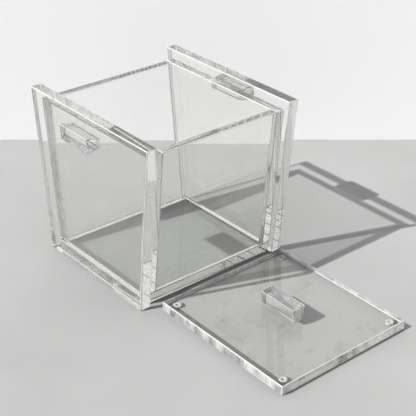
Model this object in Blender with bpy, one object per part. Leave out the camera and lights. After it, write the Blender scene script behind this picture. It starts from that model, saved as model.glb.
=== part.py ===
"""Acrylic display cube: an open-topped box of thick clear sheet with a loose lid.

Frame: origin at the centre of the outer plates' footprint, +Z up, the front wall faces -Y.
The front and back of the box splay outwards towards the top, the sides are upright.
The lid lies on the floor in front of the box, handle up.
"""
import bpy
import bmesh
from math import atan, cos
from mathutils import Vector

GAP = 0.0003            # clearance at every glued or resting face
SPLAY = 0.1051          # outward run of the front and back per unit of height (6 degrees)

OUTER_W = 0.380         # across the two outer side plates (X)
PLATE_T = 0.025         # outer side plate thickness
PLATE_FOOT = 0.162      # half length of an outer side plate at the floor (Y)
PLATE_H = 0.370         # outer side plate height

FRONT_INSET = 0.011     # inner box behind the plates' front ends
BACK_INSET = 0.022      # inner box ahead of the plates' back ends
BASE_T = 0.025          # base plate thickness
WALL_T = 0.020          # thickness of the four inner walls

LID_W = 0.326           # lid size along X
LID_L = 0.352           # lid size along Y
LID_T = 0.020           # lid thickness
LID_X = 0.010           # lid centre, sideways from the box's centre line
LID_AHEAD = 0.025       # floor left between the plates' feet and the lid

GRIP_L = 0.094          # handle block length
GRIP_FOOT = 0.021       # handle block width where it is glued on
GRIP_TOP = 0.034        # handle block width at its outer face
GRIP_H = 0.031          # how far a handle block stands out
GRIP_DROP = 0.021       # outer face of a side handle below the top of its plate

PLUG_INSET = 0.021      # plug centre from each edge of the lid
PLUG_R = 0.0080         # plug outer radius
PLUG_BORE_R = 0.0036    # hole through the plug
PLUG_H = 0.0094         # plug height
SEAT_DEPTH = 0.010      # depth of the seat in the lid's underside
ROUND_SIDES = 40        # facets round a seat or a plug

PLATE_EDGE = 0.0016     # polished edge break on the sheets
GRIP_EDGE = 0.0015      # polished edge break on the handle blocks
PLUG_EDGE = 0.0004      # edge break on the plugs

RIM_Z = PLATE_H - LID_T
INNER_X = OUTER_W / 2 - PLATE_T - GAP
CAVITY_X = INNER_X - WALL_T
END_RUN = WALL_T / cos(atan(SPLAY))
LID_Y = -(PLATE_FOOT + LID_AHEAD + LID_L / 2)


def clear_scene():
    for obj in list(bpy.data.objects):
        bpy.data.objects.remove(obj, do_unlink=True)


def material(name, colour, roughness, transmission, ior=1.49):
    mat = bpy.data.materials.new(name)
    mat.use_nodes = True
    shader = mat.node_tree.nodes["Principled BSDF"]
    shader.inputs["Base Color"].default_value = (*colour, 1.0)
    shader.inputs["Roughness"].default_value = roughness
    shader.inputs["Transmission Weight"].default_value = transmission
    shader.inputs["IOR"].default_value = ior
    return mat


def clear_sheet(name, tint):
    return material(name + "_acrylic", tint, 0.02, 1.0)


def new_object(name, mesh, mat, centre):
    mesh.materials.append(mat)
    obj = bpy.data.objects.new(name, mesh)
    obj.location = Vector(centre)
    bpy.context.scene.collection.objects.link(obj)
    return obj


def edge_break(obj, width, segments=2):
    mod = obj.modifiers.new("edge_break", "BEVEL")
    mod.width = width
    mod.segments = segments
    mod.limit_method = "ANGLE"
    mod.angle_limit = 0.7


def front_y(z, inset):
    """The splayed front face, inset behind the outer plates' front ends."""
    return -(PLATE_FOOT + SPLAY * z) + inset


def back_y(z, inset):
    return PLATE_FOOT + SPLAY * z - inset


def sheet(name, x_low, x_high, z_low, z_high, front, back, mat, edge):
    """A sheet with upright sides; front(z) and back(z) give its two end faces in Y."""
    profile = [(front(z_low), z_low), (back(z_low), z_low),
               (back(z_high), z_high), (front(z_high), z_high)]
    centre = Vector(((x_low + x_high) / 2, (front(z_low) + back(z_low)) / 2, (z_low + z_high) / 2))
    mesh = bpy.data.meshes.new(name)
    bm = bmesh.new()
    left = [bm.verts.new(Vector((x_low, y, z)) - centre) for y, z in profile]
    right = [bm.verts.new(Vector((x_high, y, z)) - centre) for y, z in profile]
    bm.faces.new(left)
    bm.faces.new(right)
    for i in range(4):
        j = (i + 1) % 4
        bm.faces.new((left[i], left[j], right[j], right[i]))
    bmesh.ops.recalc_face_normals(bm, faces=bm.faces)
    bm.to_mesh(mesh)
    bm.free()
    obj = new_object(name, mesh, mat, centre)
    edge_break(obj, edge)
    return obj


def grip(name, foot, outward, across):
    """A flared handle block, long in Y; foot is the centre of its narrow, glued face."""
    mesh = bpy.data.meshes.new(name)
    bm = bmesh.new()
    corners = ((-GRIP_FOOT, -1), (GRIP_FOOT, -1), (GRIP_TOP, 1), (-GRIP_TOP, 1))
    ends = []
    for y in (-GRIP_L / 2, GRIP_L / 2):
        ends.append([bm.verts.new(outward * (side * GRIP_H / 2) + across * (width / 2) + Vector((0, y, 0)))
                     for width, side in corners])
    near, far = ends
    bm.faces.new(near)
    bm.faces.new(far)
    for i in range(4):
        j = (i + 1) % 4
        bm.faces.new((near[i], near[j], far[j], far[i]))
    bmesh.ops.recalc_face_normals(bm, faces=bm.faces)
    bm.to_mesh(mesh)
    bm.free()
    obj = new_object(name, mesh, clear_sheet(name, (0.96, 0.97, 0.96)), foot + outward * (GRIP_H / 2))
    edge_break(obj, GRIP_EDGE)


def cylinder_mesh(name, radius, height):
    mesh = bpy.data.meshes.new(name)
    bm = bmesh.new()
    bmesh.ops.create_cone(bm, cap_ends=True, segments=ROUND_SIDES,
                          radius1=radius, radius2=radius, depth=height)
    bm.to_mesh(mesh)
    bm.free()
    return mesh


def cut_round(target, name, radius, height, centre, mat):
    """Cut an upright round hole; the cutter stays as a hidden wire object."""
    cutter = new_object(name, cylinder_mesh(name, radius, height), mat, centre)
    cutter.hide_render = True
    cutter.display_type = "WIRE"
    mod = target.modifiers.new(name, "BOOLEAN")
    mod.operation = "DIFFERENCE"
    mod.solver = "EXACT"
    mod.object = cutter


def ring_plug(name, low_centre, mat):
    """A short upright ring with a through hole."""
    mesh = bpy.data.meshes.new(name)
    bm = bmesh.new()
    outer = bmesh.ops.create_circle(bm, cap_ends=False, segments=ROUND_SIDES, radius=PLUG_R)["verts"]
    inner = bmesh.ops.create_circle(bm, cap_ends=False, segments=ROUND_SIDES, radius=PLUG_BORE_R)["verts"]
    faces = []
    for i in range(ROUND_SIDES):
        j = (i + 1) % ROUND_SIDES
        faces.append(bm.faces.new((outer[i], outer[j], inner[j], inner[i])))
    extruded = bmesh.ops.extrude_face_region(bm, geom=faces)["geom"]
    top = [v for v in extruded if isinstance(v, bmesh.types.BMVert)]
    bmesh.ops.translate(bm, vec=Vector((0, 0, PLUG_H)), verts=top)
    bmesh.ops.recalc_face_normals(bm, faces=bm.faces)
    bmesh.ops.translate(bm, vec=Vector((0, 0, -PLUG_H / 2)), verts=bm.verts)
    bm.to_mesh(mesh)
    bm.free()
    x, y, z = low_centre
    obj = new_object(name, mesh, mat, (x, y, z + PLUG_H / 2))
    edge_break(obj, PLUG_EDGE, 1)
    return obj


def build_box():
    wall_z = BASE_T + GAP

    def front(z):
        return front_y(z, FRONT_INSET)

    def back(z):
        return back_y(z, BACK_INSET)

    sheet("base_plate", -INNER_X, INNER_X, 0, BASE_T, front, back,
          clear_sheet("base", (0.93, 0.95, 0.93)), PLATE_EDGE)
    sheet("left_wall", -INNER_X, -CAVITY_X, wall_z, RIM_Z, front, back,
          clear_sheet("left_wall", (0.94, 0.96, 0.94)), PLATE_EDGE)
    sheet("right_wall", CAVITY_X, INNER_X, wall_z, RIM_Z, front, back,
          clear_sheet("right_wall", (0.94, 0.96, 0.94)), PLATE_EDGE)
    end_x = CAVITY_X - GAP
    sheet("front_wall", -end_x, end_x, wall_z, RIM_Z, front, lambda z: front(z) + END_RUN,
          clear_sheet("front_wall", (0.95, 0.96, 0.95)), PLATE_EDGE)
    sheet("back_wall", -end_x, end_x, wall_z, RIM_Z, lambda z: back(z) - END_RUN, back,
          clear_sheet("back_wall", (0.95, 0.96, 0.95)), PLATE_EDGE)


def build_side_plates():
    up = Vector((0, 0, 1))
    grip_z = PLATE_H - GRIP_DROP - GRIP_TOP / 2
    for name, side in (("left", -1), ("right", 1)):
        near = side * (OUTER_W / 2 - PLATE_T)
        far = side * OUTER_W / 2
        sheet(name + "_side_plate", min(near, far), max(near, far), 0, PLATE_H,
              lambda z: front_y(z, 0), lambda z: back_y(z, 0),
              clear_sheet(name + "_plate", (0.93, 0.95, 0.93)), PLATE_EDGE)
        grip(name + "_handle", Vector((far + side * GAP, 0, grip_z)), Vector((side, 0, 0)), up)


def build_lid():
    lid_mat = clear_sheet("lid", (0.94, 0.96, 0.94))
    plug_mat = material("plug_nylon", (0.90, 0.90, 0.88), 0.35, 0.3, 1.53)
    lid = sheet("lid_plate", LID_X - LID_W / 2, LID_X + LID_W / 2, 0, LID_T,
                lambda z: LID_Y - LID_L / 2, lambda z: LID_Y + LID_L / 2, lid_mat, PLATE_EDGE)
    grip("lid_handle", Vector((LID_X, LID_Y, LID_T + GAP)), Vector((0, 0, 1)), Vector((1, 0, 0)))
    reach_x = LID_W / 2 - PLUG_INSET
    reach_y = LID_L / 2 - PLUG_INSET
    number = 1
    for sx in (-1, 1):
        for sy in (-1, 1):
            spot = (LID_X + sx * reach_x, LID_Y + sy * reach_y, 0.0)
            cut_round(lid, "seat_cut_%d" % number, PLUG_R + GAP, 2 * SEAT_DEPTH, spot, lid_mat)
            ring_plug("lid_plug_%d" % number, spot, plug_mat)
            number += 1


clear_scene()
build_box()
build_side_plates()
build_lid()
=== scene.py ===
"""Looks of the acrylic display cube: thick clear sheet, lightly worn, in crisp sunlight."""

import bpy
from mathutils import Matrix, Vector

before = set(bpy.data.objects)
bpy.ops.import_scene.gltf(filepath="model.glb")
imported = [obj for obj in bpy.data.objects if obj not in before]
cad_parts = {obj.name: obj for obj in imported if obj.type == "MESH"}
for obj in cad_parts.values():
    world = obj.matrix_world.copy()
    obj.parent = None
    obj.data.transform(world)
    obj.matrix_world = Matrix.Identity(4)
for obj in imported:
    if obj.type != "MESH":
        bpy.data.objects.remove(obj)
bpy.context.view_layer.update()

CAMERA_AT = Vector((-1.254, -1.665, 1.259))
CAMERA_AIM = Vector((0.556, 0.674, -0.486))
CAMERA_LENS = 95.6
SENSOR = 36.0

ACRYLIC_IOR = 1.49
NYLON_IOR = 1.53
SUN_RUN = Vector((-0.934, 0.24, 1.0))      # from the object towards the key light
KEY_STRENGTH = 4.7
KEY_ANGLE = 0.014
ROOM_STRENGTH = 0.44
WALL_NORMAL = Vector((0.636, 0.771, 0.0))
WALL_DISTANCE = 0.553
WALL_HEIGHT = 5.0
STAGE_REACH = 12.0
FLOOR_DROP = -0.0004                       # floor just under the object's feet
LIGHT_BOUNCES = 32                         # enough for light to leave thick clear sheet by its edges

CLEAN = (0.02, 0.14)                       # how dirty, and how ground on cut faces, a sheet is at most
WEAR = {"lid_plate": (0.30, 0.70), "lid_handle": (0.02, 0.26)}
BROAD_AXES = {"base_plate": "Z", "front_wall": "Y", "back_wall": "Y", "left_wall": "X", "right_wall": "X",
              "left_side_plate": "X", "right_side_plate": "X", "lid_plate": "Z",
              "left_handle": None, "right_handle": None, "lid_handle": None}
PLUGS = 4


class Graph:
    """A material's node tree, built one node at a time."""

    def __init__(self, name):
        self.material = bpy.data.materials.new(name)
        self.material.use_nodes = True
        self.tree = self.material.node_tree
        self.tree.nodes.clear()
        self.output = self.tree.nodes.new("ShaderNodeOutputMaterial")

    def node(self, kind, inputs=None, **settings):
        made = self.tree.nodes.new("ShaderNode" + kind)
        for key, value in settings.items():
            setattr(made, key, value)
        for key, value in (inputs or {}).items():
            self.feed(made.inputs[key], value)
        return made

    def feed(self, socket, value):
        if isinstance(value, bpy.types.NodeSocket):
            self.tree.links.new(value, socket)
        else:
            socket.default_value = value

    def maths(self, operation, a, b=0.0, clamp=False):
        made = self.node("Math", operation=operation, use_clamp=clamp)
        self.feed(made.inputs[0], a)
        self.feed(made.inputs[1], b)
        return made.outputs[0]

    def ramp(self, value, low, high, out_low=0.0, out_high=1.0):
        made = self.node("MapRange", {"Value": value, "From Min": low, "From Max": high,
                                      "To Min": out_low, "To Max": out_high})
        return made.outputs["Result"]

    def noise(self, vector, scale, detail=3.0, roughness=0.5):
        made = self.node("TexNoise", {"Vector": vector, "Scale": scale, "Detail": detail,
                                      "Roughness": roughness})
        return made.outputs["Fac"]

    def stretch(self, vector, scale):
        made = self.node("Mapping", {"Vector": vector, "Scale": scale})
        return made.outputs["Vector"]

    def blend_colour(self, factor, first, second):
        made = self.node("Mix", data_type="RGBA")
        self.feed(made.inputs["Factor"], factor)
        self.feed(made.inputs[6], first)
        self.feed(made.inputs[7], second)
        return made.outputs[2]


def specks(g, at, scale, size, share):
    """Sparse round dots: 1 inside a dot. share is the part of the cells that hold one."""
    cells = g.node("TexVoronoi", {"Vector": at, "Scale": scale})
    dot = g.ramp(cells.outputs["Distance"], size, size * 0.5)
    pick = g.node("SeparateColor", {"Color": cells.outputs["Color"]})
    held = g.maths("LESS_THAN", pick.outputs[0], share)
    return g.maths("MULTIPLY", dot, held)


def acrylic(name, broad_axis, seed, grime_share, frost_share):
    """Clear cast acrylic. broad_axis is the axis the sheet's two large faces look along, or None
    for a block ground on every face. grime_share is how dirty the worst smudges are, frost_share
    how white the most ground cut faces are."""
    g = Graph(name)
    coords = g.node("TexCoord")
    place = g.node("VectorMath", operation="ADD")
    g.feed(place.inputs[0], coords.outputs["Object"])
    g.feed(place.inputs[1], (seed * 1.37, seed * 0.61, seed * 2.11))
    at = place.outputs[0]
    facing = g.node("VectorMath", operation="ABSOLUTE")
    g.feed(facing.inputs[0], coords.outputs["Normal"])
    parts = g.node("SeparateXYZ", {"Vector": facing.outputs[0]})
    most = g.maths("MAXIMUM", g.maths("MAXIMUM", parts.outputs["X"], parts.outputs["Y"]), parts.outputs["Z"])
    broken_edge = g.ramp(most, 0.97, 0.93)

    if broad_axis is None:
        cut_face = 1.0
    else:
        cut_face = g.ramp(parts.outputs[broad_axis], 0.40, 0.25)

    smear = g.noise(g.stretch(at, (1.0, 1.0, 0.35)), 9.0, 4.0, 0.6)
    haze = g.ramp(smear, 0.52, 0.80, 0.0, 0.045)
    saw = g.noise(g.stretch(at, (90.0, 90.0, 12.0)), 1.0, 2.0, 0.6)
    cut_haze = g.maths("MULTIPLY", cut_face, g.ramp(saw, 0.35, 0.75, 0.01, 0.09))
    roughness = g.maths("ADD", g.maths("ADD", haze, cut_haze), 0.004)

    cloud = g.noise(at, 14.0, 3.0)
    tint = g.blend_colour(g.ramp(cloud, 0.35, 0.7), (0.97, 0.973, 0.968, 1), (0.99, 0.992, 0.988, 1))

    scratch = g.noise(g.stretch(at, (260.0, 30.0, 45.0)), 1.0, 2.0, 0.7)
    ripple = g.noise(at, 6.0, 2.0)
    height = g.maths("ADD", g.maths("MULTIPLY", scratch, 0.15), ripple)
    bump = g.node("Bump", {"Height": height, "Strength": 0.02, "Distance": 0.002})

    glass = g.node("BsdfPrincipled", {
        "Base Color": tint, "Roughness": roughness, "IOR": ACRYLIC_IOR,
        "Transmission Weight": 1.0, "Normal": bump.outputs["Normal"]})

    ground = g.node("BsdfPrincipled", {
        "Base Color": (0.97, 0.97, 0.96, 1), "Roughness": 0.30, "IOR": ACRYLIC_IOR})
    lit_through = g.node("BsdfTranslucent", {"Color": (0.97, 0.97, 0.96, 1)})
    # White layer: a real ground finish on sawn faces and bubbles, and a painted highlight on the bevels.
    frost_and_highlight_white = g.node("MixShader", {0: 0.4, 1: ground.outputs[0], 2: lit_through.outputs[0]})
    patches = g.noise(g.stretch(at, (28.0, 28.0, 9.0)), 1.0, 3.0, 0.55)
    cut_frost = g.maths("MULTIPLY", cut_face, g.ramp(patches, 0.42, 0.60, frost_share * 0.3, frost_share))
    # Every bevel is frosted fully white: partly a ground edge, partly a painted highlight for the bright
    # lines along the edges.
    frost_and_edge_highlight = g.maths("MAXIMUM", cut_frost, g.maths("MULTIPLY", broken_edge, 1.0))
    frost_and_edge_highlight = g.maths("MAXIMUM", frost_and_edge_highlight, g.maths("MULTIPLY", specks(g, at, 70.0, 0.10, 0.10), 0.8))
    body = g.node("MixShader", {0: frost_and_edge_highlight, 1: glass.outputs[0], 2: frost_and_highlight_white.outputs[0]})

    dust = g.node("BsdfDiffuse", {"Color": (0.10, 0.10, 0.095, 1)})
    grime = g.ramp(g.noise(at, 22.0, 6.0, 0.7), 0.56, 0.76, 0.0, grime_share)
    dirt = g.maths("MAXIMUM", grime, g.maths("MULTIPLY", specks(g, at, 110.0, 0.13, 0.09), 0.6))
    worn = g.node("MixShader", {0: dirt, 1: body.outputs[0], 2: dust.outputs[0]})

    stopped = g.maths("MAXIMUM", cut_face, broken_edge)
    shade = g.blend_colour(stopped, (0.97, 0.973, 0.97, 1), (0.10, 0.102, 0.10, 1))
    glancing = g.maths("POWER", g.node("LayerWeight", {"Blend": 0.5}).outputs["Facing"], 5.0)
    mirrored = g.blend_colour(g.maths("ADD", glancing, 0.04, clamp=True), shade, (0, 0, 0, 1))
    shadow = g.node("BsdfTransparent", {"Color": mirrored})
    path = g.node("LightPath")
    unseen = g.maths("MAXIMUM", path.outputs["Is Shadow Ray"], path.outputs["Is Diffuse Ray"])
    surface = g.node("MixShader", {0: unseen, 1: worn.outputs[0], 2: shadow.outputs[0]})
    volume = g.node("VolumeAbsorption", {"Color": (0.80, 0.835, 0.79, 1), "Density": 1.3})
    g.feed(g.output.inputs["Surface"], surface.outputs[0])
    g.feed(g.output.inputs["Volume"], volume.outputs[0])
    return g.material


def nylon(name, seed):
    g = Graph(name)
    coords = g.node("TexCoord")
    cloud = g.noise(coords.outputs["Object"], 400.0 + seed)
    tint = g.blend_colour(cloud, (0.50, 0.50, 0.49, 1), (0.64, 0.64, 0.63, 1))
    rough = g.ramp(cloud, 0.3, 0.7, 0.25, 0.45)
    plastic = g.node("BsdfPrincipled", {"Base Color": tint, "Roughness": rough, "IOR": NYLON_IOR})
    g.feed(g.output.inputs["Surface"], plastic.outputs[0])
    return g.material


def dress(node, material):
    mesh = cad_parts[node].data
    mesh.materials.clear()
    mesh.materials.append(material)


def floor_material():
    g = Graph("pale_floor")
    coords = g.node("NewGeometry")
    cloud = g.noise(coords.outputs["Position"], 3.0, 5.0)
    tint = g.blend_colour(g.ramp(cloud, 0.3, 0.7), (0.345, 0.345, 0.342, 1), (0.385, 0.385, 0.382, 1))
    paint = g.node("BsdfPrincipled", {"Base Color": tint, "Roughness": 0.9, "Specular IOR Level": 0.05})
    g.feed(g.output.inputs["Surface"], paint.outputs[0])
    return g.material


def wall_material():
    """White from the front, unseen from behind."""
    g = Graph("white_wall")
    side = g.node("NewGeometry")
    paint = g.node("BsdfDiffuse", {"Color": (0.95, 0.95, 0.95, 1)})
    clear = g.node("BsdfTransparent")
    surface = g.node("MixShader", {0: side.outputs["Backfacing"], 1: paint.outputs[0],
                                   2: clear.outputs[0]})
    g.feed(g.output.inputs["Surface"], surface.outputs[0])
    return g.material


def panel(name, corners, material):
    mesh = bpy.data.meshes.new(name)
    mesh.from_pydata(corners, [], [(0, 1, 2, 3)])
    mesh.materials.append(material)
    obj = bpy.data.objects.new(name, mesh)
    bpy.context.scene.collection.objects.link(obj)
    return obj


def build_stage():
    reach = STAGE_REACH
    panel("floor", [(-reach, -reach, FLOOR_DROP), (reach, -reach, FLOOR_DROP),
                    (reach, reach, FLOOR_DROP), (-reach, reach, FLOOR_DROP)], floor_material())
    along = Vector((WALL_NORMAL.y, -WALL_NORMAL.x, 0.0))
    foot = WALL_NORMAL.normalized() * WALL_DISTANCE
    low, high = Vector((0, 0, -0.01)), Vector((0, 0, WALL_HEIGHT))
    corners = [foot - along * reach + low, foot + along * reach + low,
               foot + along * reach + high, foot - along * reach + high]
    panel("wall", corners, wall_material())


def build_lights():
    data = bpy.data.lights.new("key", "SUN")
    data.energy = KEY_STRENGTH
    data.angle = KEY_ANGLE
    key = bpy.data.objects.new("key", data)
    key.rotation_euler = SUN_RUN.to_track_quat("Z", "Y").to_euler()
    bpy.context.scene.collection.objects.link(key)
    world = bpy.data.worlds.new("soft_room")
    world.use_nodes = True
    world.node_tree.nodes["Background"].inputs["Color"].default_value = (1, 1, 1, 1)
    world.node_tree.nodes["Background"].inputs["Strength"].default_value = ROOM_STRENGTH
    bpy.context.scene.world = world


def build_camera():
    data = bpy.data.cameras.new("camera")
    data.lens = CAMERA_LENS
    data.sensor_width = SENSOR
    obj = bpy.data.objects.new("camera", data)
    obj.location = CAMERA_AT
    obj.rotation_euler = CAMERA_AIM.to_track_quat("-Z", "Y").to_euler()
    bpy.context.scene.collection.objects.link(obj)
    bpy.context.scene.camera = obj


def dress_all():
    for seed, (node, axis) in enumerate(BROAD_AXES.items()):
        grime_share, frost_share = WEAR.get(node, CLEAN)
        dress(node, acrylic(node + "_acrylic", axis, seed, grime_share, frost_share))
    for number in range(1, PLUGS + 1):
        dress("lid_plug_%d" % number, nylon("plug_nylon_%d" % number, number))


dress_all()
build_stage()
build_lights()
build_camera()
scene = bpy.context.scene
scene.view_settings.view_transform = "Standard"
scene.cycles.max_bounces = LIGHT_BOUNCES
scene.cycles.glossy_bounces = LIGHT_BOUNCES
scene.cycles.transmission_bounces = LIGHT_BOUNCES
scene.cycles.transparent_max_bounces = LIGHT_BOUNCES
